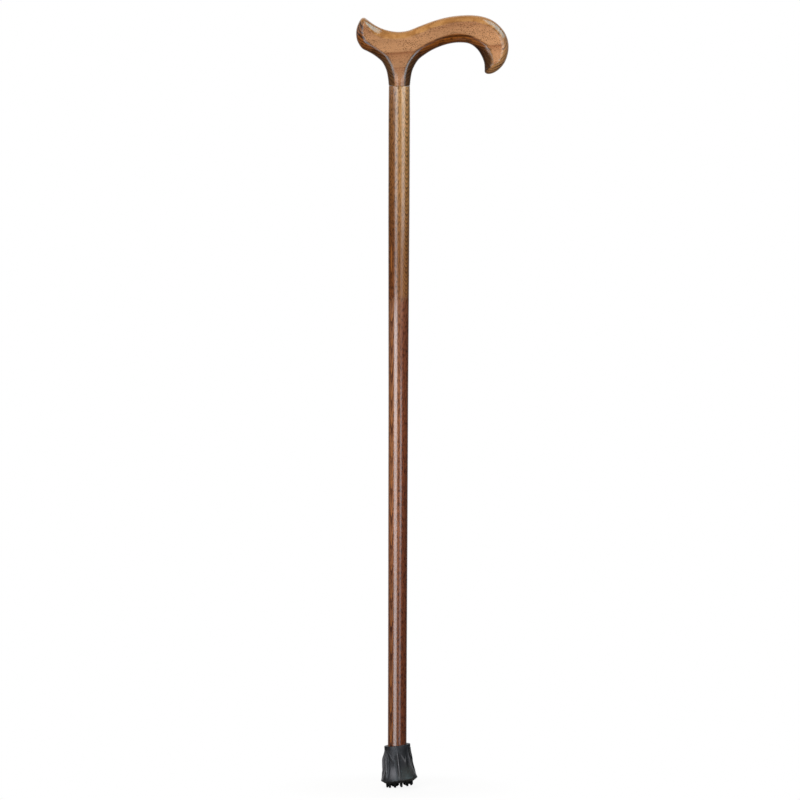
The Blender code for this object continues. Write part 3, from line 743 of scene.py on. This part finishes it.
# Soft streaks: 30 mm long, 3 mm high
streaks = grain(tree, place, (35.0, 300.0, 300.0), detail=2.0)
streak = add(tree, "MapRange", {
    "Value": streaks, "From Min": 0.3, "From Max": 0.7, "To Min": 0.9, "To Max": 1.08,
})
is_worked = add(tree, "Attribute", attribute_name="worked").outputs["Fac"]
how_worked = add(tree, "MapRange", {"Value": is_worked, "From Min": 0.1, "From Max": 0.45})
up = add(tree, "Attribute", attribute_name="facing_up").outputs["Fac"]
up = add(tree, "MapRange", {"Value": up, "From Min": -1.0, "From Max": 1.0})
# Painted light and shade: the edges' colours are paler where they face up and darker where they face down
edge_light = add(tree, "ValToRGB", {"Fac": up}, stops=(
    (0.0, "d0782a"), (0.35, "b87440"), (0.5, "b98554"), (0.7, "d09a5e"), (1.0, "d59c5f"),
))
edge_dark = add(tree, "ValToRGB", {"Fac": up}, stops=(
    (0.0, "2e1101"), (0.35, "2a1202"), (0.5, "462a14"), (0.7, "9b683a"), (1.0, "b87f45"),
))
stripe = add(tree, "ValToRGB", {"Fac": ring}, stops=(
    (0.0, 0.0), (0.25, 0.1), (0.5, 0.8), (0.8, 1.0), (1.0, 0.0),
))
year = add(tree, "Math", {0: stripes}, operation="FLOOR")
year = add(tree, "TexWhiteNoise", {"W": year}, noise_dimensions="1D")
year = add(tree, "MapRange", {"Value": year, "To Min": 0.55, "To Max": 1.0})
stripe = add(tree, "Math", {0: stripe, 1: year}, operation="MULTIPLY")
# Between the stripes the stain lies in clouds
cloud = add(tree, "MapRange", {
    "Value": uneven, "From Min": 0.35, "From Max": 0.7, "To Min": 0.1, "To Max": 0.4,
})
stripe = add(tree, "Math", {0: stripe, 1: cloud}, operation="MAXIMUM")
edge_stain_and_shading = add(tree, "Mix", {0: stripe, 6: edge_light, 7: edge_dark})
# Down the neck the edges are darker: end grain that drank more stain, and painted shade on the sides that
# flare out and face down
neck_dark = add(tree, "MapRange", {
    "Value": along_and_up.outputs["Z"], "From Min": 0.725, "From Max": 0.748, "To Min": 0.6, "To Max": 0.0,
}, interpolation_type="SMOOTHSTEP")
edge_stain_and_shading = add(tree, "Mix", {0: neck_dark, 6: edge_stain_and_shading, 7: "2c1608"})
# Under the crease, where the edge faces down, a ragged dark border is painted shade
ragged = add(tree, "MapRange", {
    "Value": uneven, "From Min": 0.3, "From Max": 0.7, "To Min": -0.25, "To Max": 0.25,
})
border = add(tree, "Math", {0: is_worked, 1: ragged}, operation="ADD")
border = add(tree, "ValToRGB", {"Fac": border}, stops=((0.3, 0.0), (0.5, 0.55), (0.85, 0.55), (1.0, 0.0)))
faces_down = add(tree, "MapRange", {
    "Value": up, "From Min": 0.3, "From Max": 0.55, "To Min": 1.0, "To Max": 0.0,
})
border = add(tree, "Math", {0: border, 1: faces_down}, operation="MULTIPLY")
edge_stain_and_shading = add(tree, "Mix", {0: border, 6: edge_stain_and_shading, 7: "2a1202"})
# The hook's tip and its outer edge are rubbed pale, and painted paler still for the light on the hook's
# right side
rubbed_and_lit = spot(tree, place, RUBBED_AND_LIT_PLACE, 15.0 * MM, 38.0 * MM, 0.62, "SMOOTHSTEP")
edge_stain_and_shading = add(tree, "Mix", {0: rubbed_and_lit, 6: edge_stain_and_shading, 7: "ffc07e"})
# Their stripes show through it
clear_stripe = add(tree, "MapRange", {"Value": stripe, "From Min": 0.45, "From Max": 0.75, "To Max": 1.3})
rubbed_and_lit = add(tree, "Math", {0: rubbed_and_lit, 1: clear_stripe}, operation="MULTIPLY")
edge_stain_and_shading = add(tree, "Mix", {0: rubbed_and_lit, 6: edge_stain_and_shading, 7: "3c1600"})
# Inside the hook, but not under its tip, the hollow is painted in shade
hook_hollow_shade = spot(tree, place, HOOK_HOLLOW, 14.0 * MM, 21.0 * MM, 0.88, "SMOOTHSTEP")
not_under = add(tree, "MapRange", {"Value": up, "From Min": 0.06, "From Max": 0.16})
hook_hollow_shade = add(tree, "Math", {0: hook_hollow_shade, 1: not_under}, operation="MULTIPLY")
edge_stain_and_shading = add(tree, "Mix", {0: hook_hollow_shade, 6: edge_stain_and_shading, 7: "2a1206"})
stain_and_shading = add(tree, "Mix", {0: how_worked, 6: flat_stain, 7: edge_stain_and_shading})
# The cutter's cross cuts show fewer of the rays
ray = add(tree, "Math", {0: ray, 1: crowd}, operation="MULTIPLY")
fewer = add(tree, "MapRange", {"Value": how_worked, "To Min": 1.0, "To Max": 0.35})
ray = add(tree, "Math", {0: ray, 1: fewer}, operation="MULTIPLY")
stain_and_shading = add(tree, "Mix", {0: ray, 6: stain_and_shading, 7: "4c2b14"})
stain_and_shading = add(tree, "Mix", {0: 1.0, 6: stain_and_shading, 7: streak}, blend_type="MULTIPLY")
# The plank is paler towards the hook
pale = add(tree, "MapRange", {
    "Value": along_and_up.outputs["X"], "From Min": 0.06, "From Max": 0.1, "To Min": 0.95, "To Max": 1.22,
})
stain_and_shading = add(tree, "Mix", {0: 1.0, 6: stain_and_shading, 7: pale}, blend_type="MULTIPLY")
relief = add(tree, "Bump", {"Height": rays, "Strength": 0.2, "Distance": 0.04 * MM})
feed(tree, surface, {
    "Base Color": stain_and_shading, "Roughness": 0.5, "IOR": 1.5, "Specular IOR Level": 0.0, "Normal": relief,
    "Coat Weight": 1.0, "Coat Roughness": 0.15, "Coat IOR": 1.5,
})


def combine(piece, operation, other):
    """Cut another object out of a piece, or join it on."""
    boolean = piece.modifiers.new(other.name, "BOOLEAN")
    boolean.operation = operation
    boolean.solver = "EXACT"
    boolean.object = other


def settle(piece, used_up):
    """Make a piece's modifiers part of its mesh, and remove the object that they used."""
    graph = bpy.context.evaluated_depsgraph_get()
    finished = bpy.data.meshes.new_from_object(piece.evaluated_get(graph), depsgraph=graph)
    piece.modifiers.clear()
    piece.data = finished
    bpy.data.objects.remove(used_up)


handle = new_piece("derby_handle", handle_mesh, handle_wood)
combine(handle, "DIFFERENCE", drill)
weighted = handle.modifiers.new("flat_sides_stay_flat", "WEIGHTED_NORMAL")
weighted.mode = "FACE_AREA"
weighted.weight = 80
weighted.keep_sharp = True
settle(handle, drill)
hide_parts("handle")
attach(handle, "stick")


# ---- Washer ------------------------------
# A stamped steel disc, zinc plated, laid in the bottom of the ferrule's socket so that the shaft's end
# doesn't cut through the rubber.

washer_steel, tree, surface, place = new_finish("zinc_plated_steel")
# Zinc spangle: crystals of about 1 mm
spangle = add(tree, "TexVoronoi", {"Vector": place, "Scale": 900.0})
grey = add(tree, "ValToRGB", {"Fac": spangle.outputs["Color"]}, stops=((0.0, "b9bcc0"), (1.0, "d0d2d4")))
sheen = add(tree, "MapRange", {"Value": spangle.outputs["Distance"], "To Min": 0.28, "To Max": 0.42})
feed(tree, surface, {"Base Color": grey, "Metallic": 1.0, "Roughness": sheen})
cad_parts["ferrule_washer"].material_slots[0].material = washer_steel


# ---- Ferrule -----------------------------
# One moulding of dark grey rubber: a tube over a belled skirt with seven flat sides, a thin fin on each
# corner, and studs under the sole. It is pushed on the shaft's foot, a little askew.

FERRULE_HEIGHT = 41.8 * MM
FERRULE_TUBE_DIAMETER = 26.1 * MM
FERRULE_SKIRT_HEIGHT = 25.5 * MM
FERRULE_SOLE_DIAMETER = 36.4 * MM
SOLE_EDGE_HEIGHT = 7.8 * MM
SOLE_EDGE_THICKNESS = 0.7 * MM
SOLE_FACE_DIAMETER = 29.0 * MM
SKIRT_CURVE = 1.9
RUBBER_UNDER_SOCKET = 11.2 * MM
SOCKET_DIAMETER = 19.6 * MM
RIM_ROUND = 0.35 * MM
RIDGES = 7
RIDGE_TURN = math.radians(1.3)
RIDGE_TWIST = math.radians(6.0)
PLAIN_COLLAR = 3.8 * MM
RIDGE_TOP_HEIGHT = FERRULE_HEIGHT - PLAIN_COLLAR
FACET_FADE = 0.4
# Widths and places across a facet are shares of the way from a fin to the facet's middle
FIN_PROUD = 0.5 * MM
FIN_WIDTH = 0.17
FIN_SQUEEZED_OUT = 1.9 * MM
FIN_SQUEEZE_RISE = 1.45
# Slopes at which it sits askew: below its rim it leans off towards the hook, and its sole rises that way
FERRULE_LEAN = 0.063
FERRULE_TILT = 0.1086
FERRULE_SIDES = 28 * RIDGES
FERRULE_ROWS = 60
# Finer than the solids show: the fins' soft crests, the grooves beside them, and the lip of the skirt
FIN_EXTRA = 0.1 * MM
SOFT_FIN_WIDTH = 1.15 * FIN_WIDTH
GROOVE_DEPTH = 0.4 * MM
GROOVE_AWAY = 0.3
GROOVE_WIDTH = 0.11
LIP_PROUD = 0.45 * MM
LIP_HEIGHT = 0.9 * MM
LIP_RUN_OUT = 3.5 * MM
LIP_V = 1.25
LIP_POINT_HEIGHT = 26.2 * MM
# Share of the way from a fin to the next one on its right
LIP_POINT_PLACE = 0.62
# How pale bloom and painted highlights make the rubber, where 1 is the most it shows, how dark painted
# shade makes it, and where. EDGE is how sharply it ends
CREST_BLOOM_AND_HIGHLIGHT = 1.25
CREST_HIGHLIGHT_FALL = 0.5
CREST_HIGHLIGHT_MIDDLE = 0.1
CREST_BLOOM_AND_HIGHLIGHT_EDGE = 4
LIP_HIGHLIGHT = 0.3
POINT_HIGHLIGHT = 0.6
POINT_HIGHLIGHT_WIDTH = 0.45
POINT_HIGHLIGHT_DROP = 0.8 * MM
POINT_HIGHLIGHT_HEIGHT = 1.8 * MM
LOW_FACET_LIGHT = 0.55
LOW_FACET_LIGHT_TURN = 0.3
LOW_FACET_LIGHT_RISE = 0.4
LOW_FACET_LIGHT_EDGE = 12
COLLAR_BLOOM = 0.08
COLLAR_RIGHT_SHADE = 0.7
SHADE_LEFT_OF_FIN = 1.3
SHADE_RIGHT_OF_FIN = 0.7
SHADE_AWAY = 0.36
SHADE_WIDTH = 0.17
LEFT_SIDE_HIGHLIGHT = 0.6
RIGHT_SIDE_SHADE = 1.2
SIDE_EDGE = 14

STUD_LENGTH = 4.4 * MM
STUD_DIAMETER = 2.7 * MM
STUD_TIP_DIAMETER = 2.1 * MM
STUD_TIP_ROUND = 0.35 * MM
STUD_ROOT = 1.0 * MM
# How many, their ring's radius, and its turn from the front
STUD_RINGS = (
    (12, 12.4 * MM, math.radians(9.0)),
    (6, 7.0 * MM, math.radians(13.0)),
    (3, FERRULE_LEAN * FERRULE_HEIGHT, -math.pi / 2),
)
STUD_SIDES = 16


def skirt_radius(angle, height):
    """The ferrule's outer radius at an angle from +X and a height above the studs' ends.

    With it comes how pale the rubber is there: above 0 where bloom and painted highlights make it paler,
    and below 0 where painted shade makes it darker.
    """
    tube = FERRULE_TUBE_DIAMETER / 2
    sole = FERRULE_SOLE_DIAMETER / 2
    to_right = max(0.0, math.cos(angle))
    to_left = max(0.0, -math.cos(angle))
    rise = (height - SOLE_EDGE_HEIGHT) / (FERRULE_SKIRT_HEIGHT - SOLE_EDGE_HEIGHT)
    if rise < 1:
        middle = tube + (sole - tube) * (1 - rise) ** SKIRT_CURVE
    else:
        run_out = (height - FERRULE_SKIRT_HEIGHT) / (RIDGE_TOP_HEIGHT - FERRULE_SKIRT_HEIGHT)
        middle = tube - tube * (1 - math.cos(math.pi / RIDGES)) * run_out
    ridge_rise = (height - SOLE_EDGE_HEIGHT) / (RIDGE_TOP_HEIGHT - SOLE_EDGE_HEIGHT)
    turn = RIDGE_TURN + RIDGE_TWIST * (0.5 - ridge_rise)
    sector = (angle + math.pi / 2 - turn) / (2 * math.pi) * RIDGES
    away = 2 * abs(sector - round(sector))
    corner = middle / math.cos((1 - away) * math.pi / RIDGES) - middle
    squeezed = to_left * math.sin(math.pi * ridge_rise**FIN_SQUEEZE_RISE)
    fade = math.sin(math.pi * min(1.0, max(0.0, ridge_rise)))
    fin = (FIN_PROUD + FIN_EXTRA) * fade + FIN_SQUEEZED_OUT * squeezed**2
    crest = 0.5 + 0.5 * math.cos(math.pi * min(1.0, away / SOFT_FIN_WIDTH))
    groove = fade * math.exp(-(((away - GROOVE_AWAY) / GROOVE_WIDTH) ** 2))
    skirt = middle + corner * min(1.0, rise / FACET_FADE) + fin * crest - GROOVE_DEPTH * groove
    # The skirt's upper edge ends in a thin lip on the tube
    across = sector % 1.0
    to_point = min(across / LIP_POINT_PLACE, (1 - across) / (1 - LIP_POINT_PLACE))
    lip_height = RIDGE_TOP_HEIGHT - (RIDGE_TOP_HEIGHT - LIP_POINT_HEIGHT) * to_point**LIP_V
    below = lip_height - height
    step = min(1.0, max(0.0, below / LIP_HEIGHT + 0.5))
    lip = step * step * (3 - 2 * step) * math.exp(-max(0.0, below) / LIP_RUN_OUT)
    # A painted highlight is thin along the lip and thick at its point. On the left there is none, and
    # painted light lies low on a facet instead
    beside_point = (1 - to_point) / POINT_HIGHLIGHT_WIDTH
    under_point = (below - POINT_HIGHLIGHT_DROP) / POINT_HIGHLIGHT_HEIGHT
    point_highlight = POINT_HIGHLIGHT * math.exp(-(beside_point**2) - under_point**2)
    lip_highlight = LIP_HIGHLIGHT * lip**2 * min(1.0, 2 * to_point)
    lip_highlight = (lip_highlight + point_highlight) * min(1.0, max(0.0, 0.5 + 2 * math.cos(angle)))
    on_low_facet = max(0.0, -math.sin(angle + LOW_FACET_LIGHT_TURN)) ** LOW_FACET_LIGHT_EDGE
    low_facet_light = LOW_FACET_LIGHT * on_low_facet * max(0.0, 1 - ((rise - LOW_FACET_LIGHT_RISE) / LOW_FACET_LIGHT_RISE) ** 2)
    # Bloom and painted highlights make the crests paler, most at the front and back
    off_middle = abs(math.cos(angle) - CREST_HIGHLIGHT_MIDDLE)
    crest_bloom_and_highlight = crest**CREST_BLOOM_AND_HIGHLIGHT_EDGE * fade * (CREST_BLOOM_AND_HIGHLIGHT - CREST_HIGHLIGHT_FALL * off_middle)
    pale = max(crest_bloom_and_highlight, lip_highlight, low_facet_light)
    # Beside a fin, more on its left, painted shade darkens the rubber, and so it does on the collar above
    # the lip on the right
    clean = SHADE_LEFT_OF_FIN if sector < round(sector) else SHADE_RIGHT_OF_FIN
    pale -= clean * fade * math.exp(-(((away - SHADE_AWAY) / SHADE_WIDTH) ** 2))
    pale += (1 - step) * (COLLAR_BLOOM - COLLAR_RIGHT_SHADE * to_right)
    # The side that is squeezed out, on the left, is painted pale for the light it catches, and the right
    # side is painted in shade
    pale += LEFT_SIDE_HIGHLIGHT * to_left**SIDE_EDGE - RIGHT_SIDE_SHADE * to_right**SIDE_EDGE
    return max(tube, skirt) + LIP_PROUD * lip, pale


def askew(point):
    """Where a point of the straight ferrule lies once the ferrule is pushed on askew."""
    x = point.x + FERRULE_LEAN * (FERRULE_HEIGHT - point.z)
    return Vector((x, point.y, point.z + FERRULE_TILT * x))


tube = FERRULE_TUBE_DIAMETER / 2
socket = SOCKET_DIAMETER / 2
sole = FERRULE_SOLE_DIAMETER / 2
soft = RIM_ROUND * (1 - math.sqrt(0.5))
inside = [
    (0.0, RUBBER_UNDER_SOCKET),
    (socket, RUBBER_UNDER_SOCKET),
    (socket, FERRULE_HEIGHT - RIM_ROUND),
]
outside = [
    (socket + soft, FERRULE_HEIGHT - soft),
    (socket + RIM_ROUND, FERRULE_HEIGHT),
    (tube - RIM_ROUND, FERRULE_HEIGHT),
    (tube - soft, FERRULE_HEIGHT - soft),
    (tube, FERRULE_HEIGHT - RIM_ROUND),
    (tube, RIDGE_TOP_HEIGHT),
]
for row in range(1, FERRULE_ROWS + 1):
    outside.append((sole, RIDGE_TOP_HEIGHT + (SOLE_EDGE_HEIGHT - RIDGE_TOP_HEIGHT) * row / FERRULE_ROWS))
outside += [
    (sole, SOLE_EDGE_HEIGHT - SOLE_EDGE_THICKNESS),
    (SOLE_FACE_DIAMETER / 2, STUD_LENGTH),
    (0.0, STUD_LENGTH),
]
ferrule_mesh = turned("rubber_ferrule", inside + outside, FERRULE_SIDES)
# How pale bloom and painted highlights make the rubber, and how dark painted shade makes it
bloom_and_painted_light = ferrule_mesh.attributes.new("bloom_and_painted_light", "FLOAT", "POINT")
for vertex in ferrule_mesh.vertices:
    radius = math.hypot(vertex.co.x, vertex.co.y)
    if radius < socket + soft / 2 and vertex.co.z > RUBBER_UNDER_SOCKET - MM:
        # The socket follows the shaft, and only its mouth is askew
        if vertex.co.z > RUBBER_UNDER_SOCKET + MM:
            vertex.co.z += FERRULE_TILT * vertex.co.x
        continue
    if SOLE_EDGE_HEIGHT < vertex.co.z < RIDGE_TOP_HEIGHT - MM / 2 and radius > tube:
        angle = math.atan2(vertex.co.y, vertex.co.x)
        skirt, pale = skirt_radius(angle, vertex.co.z)
        bloom_and_painted_light.data[vertex.index].value = pale
        share = skirt / radius
        vertex.co.x *= share
        vertex.co.y *= share
    vertex.co = askew(vertex.co)

studs_bm = bmesh.new()
tip = STUD_TIP_DIAMETER / 2
tip_bevel = 0.3 * STUD_TIP_ROUND
stud_profile = (
    (0.0, 0.0),
    (tip - STUD_TIP_ROUND, 0.0),
    (tip - tip_bevel, tip_bevel),
    (tip, STUD_TIP_ROUND),
    (STUD_DIAMETER / 2, STUD_LENGTH),
    (STUD_DIAMETER / 2, STUD_LENGTH + STUD_ROOT),
    (0.0, STUD_LENGTH + STUD_ROOT),
)
stud = turned("stud", stud_profile, STUD_SIDES)
for count, ring_radius, turn in STUD_RINGS:
    for number in range(count):
        from_front = turn + 2 * math.pi * number / count
        before = len(studs_bm.verts)
        studs_bm.from_mesh(stud)
        studs_bm.verts.ensure_lookup_table()
        for vertex in studs_bm.verts[before:]:
            vertex.co.x += ring_radius * math.sin(from_front)
            vertex.co.y -= ring_radius * math.cos(from_front)
            vertex.co = askew(vertex.co)
studs = new_object("studs", mesh_from("studs", studs_bm))

# Moulded rubber: a dull dark grey with a faint pale bloom and painted highlights and shade, a fine mould
# texture, and a soft broad shine
SCUFF_AND_LIGHT_PLACE = (12.0 * MM, -14.0 * MM, 13.0 * MM)

rubber, tree, surface, place = new_finish("moulded_dark_grey_rubber")
# Bloom lies in clouds of about 8 mm
clouds = add(tree, "TexNoise", {"Vector": place, "Scale": 120.0, "Detail": 3.0, "Roughness": 0.6})
grey = add(tree, "ValToRGB", {"Fac": clouds}, stops=((0.3, "201f22"), (0.55, "272729"), (0.75, "303033")))
# Height in the straight ferrule
upright = (-FERRULE_TILT, 0.0, 1.0)
height = add(tree, "VectorMath", {0: place, 1: upright}, operation="DOT_PRODUCT")
# The flared skirt is a little paler, partly bloom and partly painted light, the crests paler still with
# bloom and painted highlights, and the painted shade goes black
flare = add(tree, "MapRange", {"Value": height, "From Min": 5.0 * MM, "From Max": 45.0 * MM})
flare = add(tree, "ValToRGB", {"Fac": flare}, stops=(
    (0.15, 0.0), (0.35, 0.42), (0.6, 0.42), (0.85, 0.28), (0.95, 0.1),
))
grey = add(tree, "Mix", {0: flare, 6: grey, 7: "3c3b3f"})
bloom_and_shading = add(tree, "Attribute", attribute_name="bloom_and_painted_light").outputs["Fac"]
pale = add(tree, "MapRange", {"Value": bloom_and_shading, "To Max": 0.9})
grey = add(tree, "Mix", {0: pale, 6: grey, 7: "8c8b90"})
painted_shade = add(tree, "MapRange", {"Value": bloom_and_shading, "From Max": -0.8, "To Max": 0.75})
grey = add(tree, "Mix", {0: painted_shade, 6: grey, 7: "0a0a0b"})
# The lower skirt is scuffed dull on the right, and painted pale there to stand in for the reflection that
# it loses
scuffed_and_lit = spot(tree, place, SCUFF_AND_LIGHT_PLACE, 5.0 * MM, 13.0 * MM)
grey = add(tree, "Mix", {0: scuffed_and_lit, 6: grey, 7: "3e3d3a"})
gleam = add(tree, "MapRange", {"Value": scuffed_and_lit, "To Min": 0.45, "To Max": 0.2})
# Low down, on the studs and the sole, the rubber is darker and duller
clean = add(tree, "MapRange", {"Value": height, "From Min": 3.6 * MM, "From Max": 5.4 * MM})
grey = add(tree, "Mix", {0: clean, 6: "0e0e0f", 7: grey})
dull = add(tree, "MapRange", {"Value": clean, "To Min": 0.9, "To Max": 0.44})
# Mould texture: grains of about 0.5 mm
grains = add(tree, "TexNoise", {"Vector": place, "Scale": 1800.0, "Detail": 2.0})
relief = add(tree, "Bump", {"Height": grains, "Strength": 0.3, "Distance": 0.05 * MM})
feed(tree, surface, {
    "Base Color": grey, "Roughness": dull, "IOR": 1.52, "Specular IOR Level": gleam, "Normal": relief,
})

ferrule = new_piece("rubber_ferrule", ferrule_mesh, rubber)
combine(ferrule, "UNION", studs)
settle(ferrule, studs)
ferrule.data.shade_smooth()
ferrule.data.set_sharp_from_angle(angle=math.radians(40))
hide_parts("ferrule")
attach(ferrule, "ferrule")
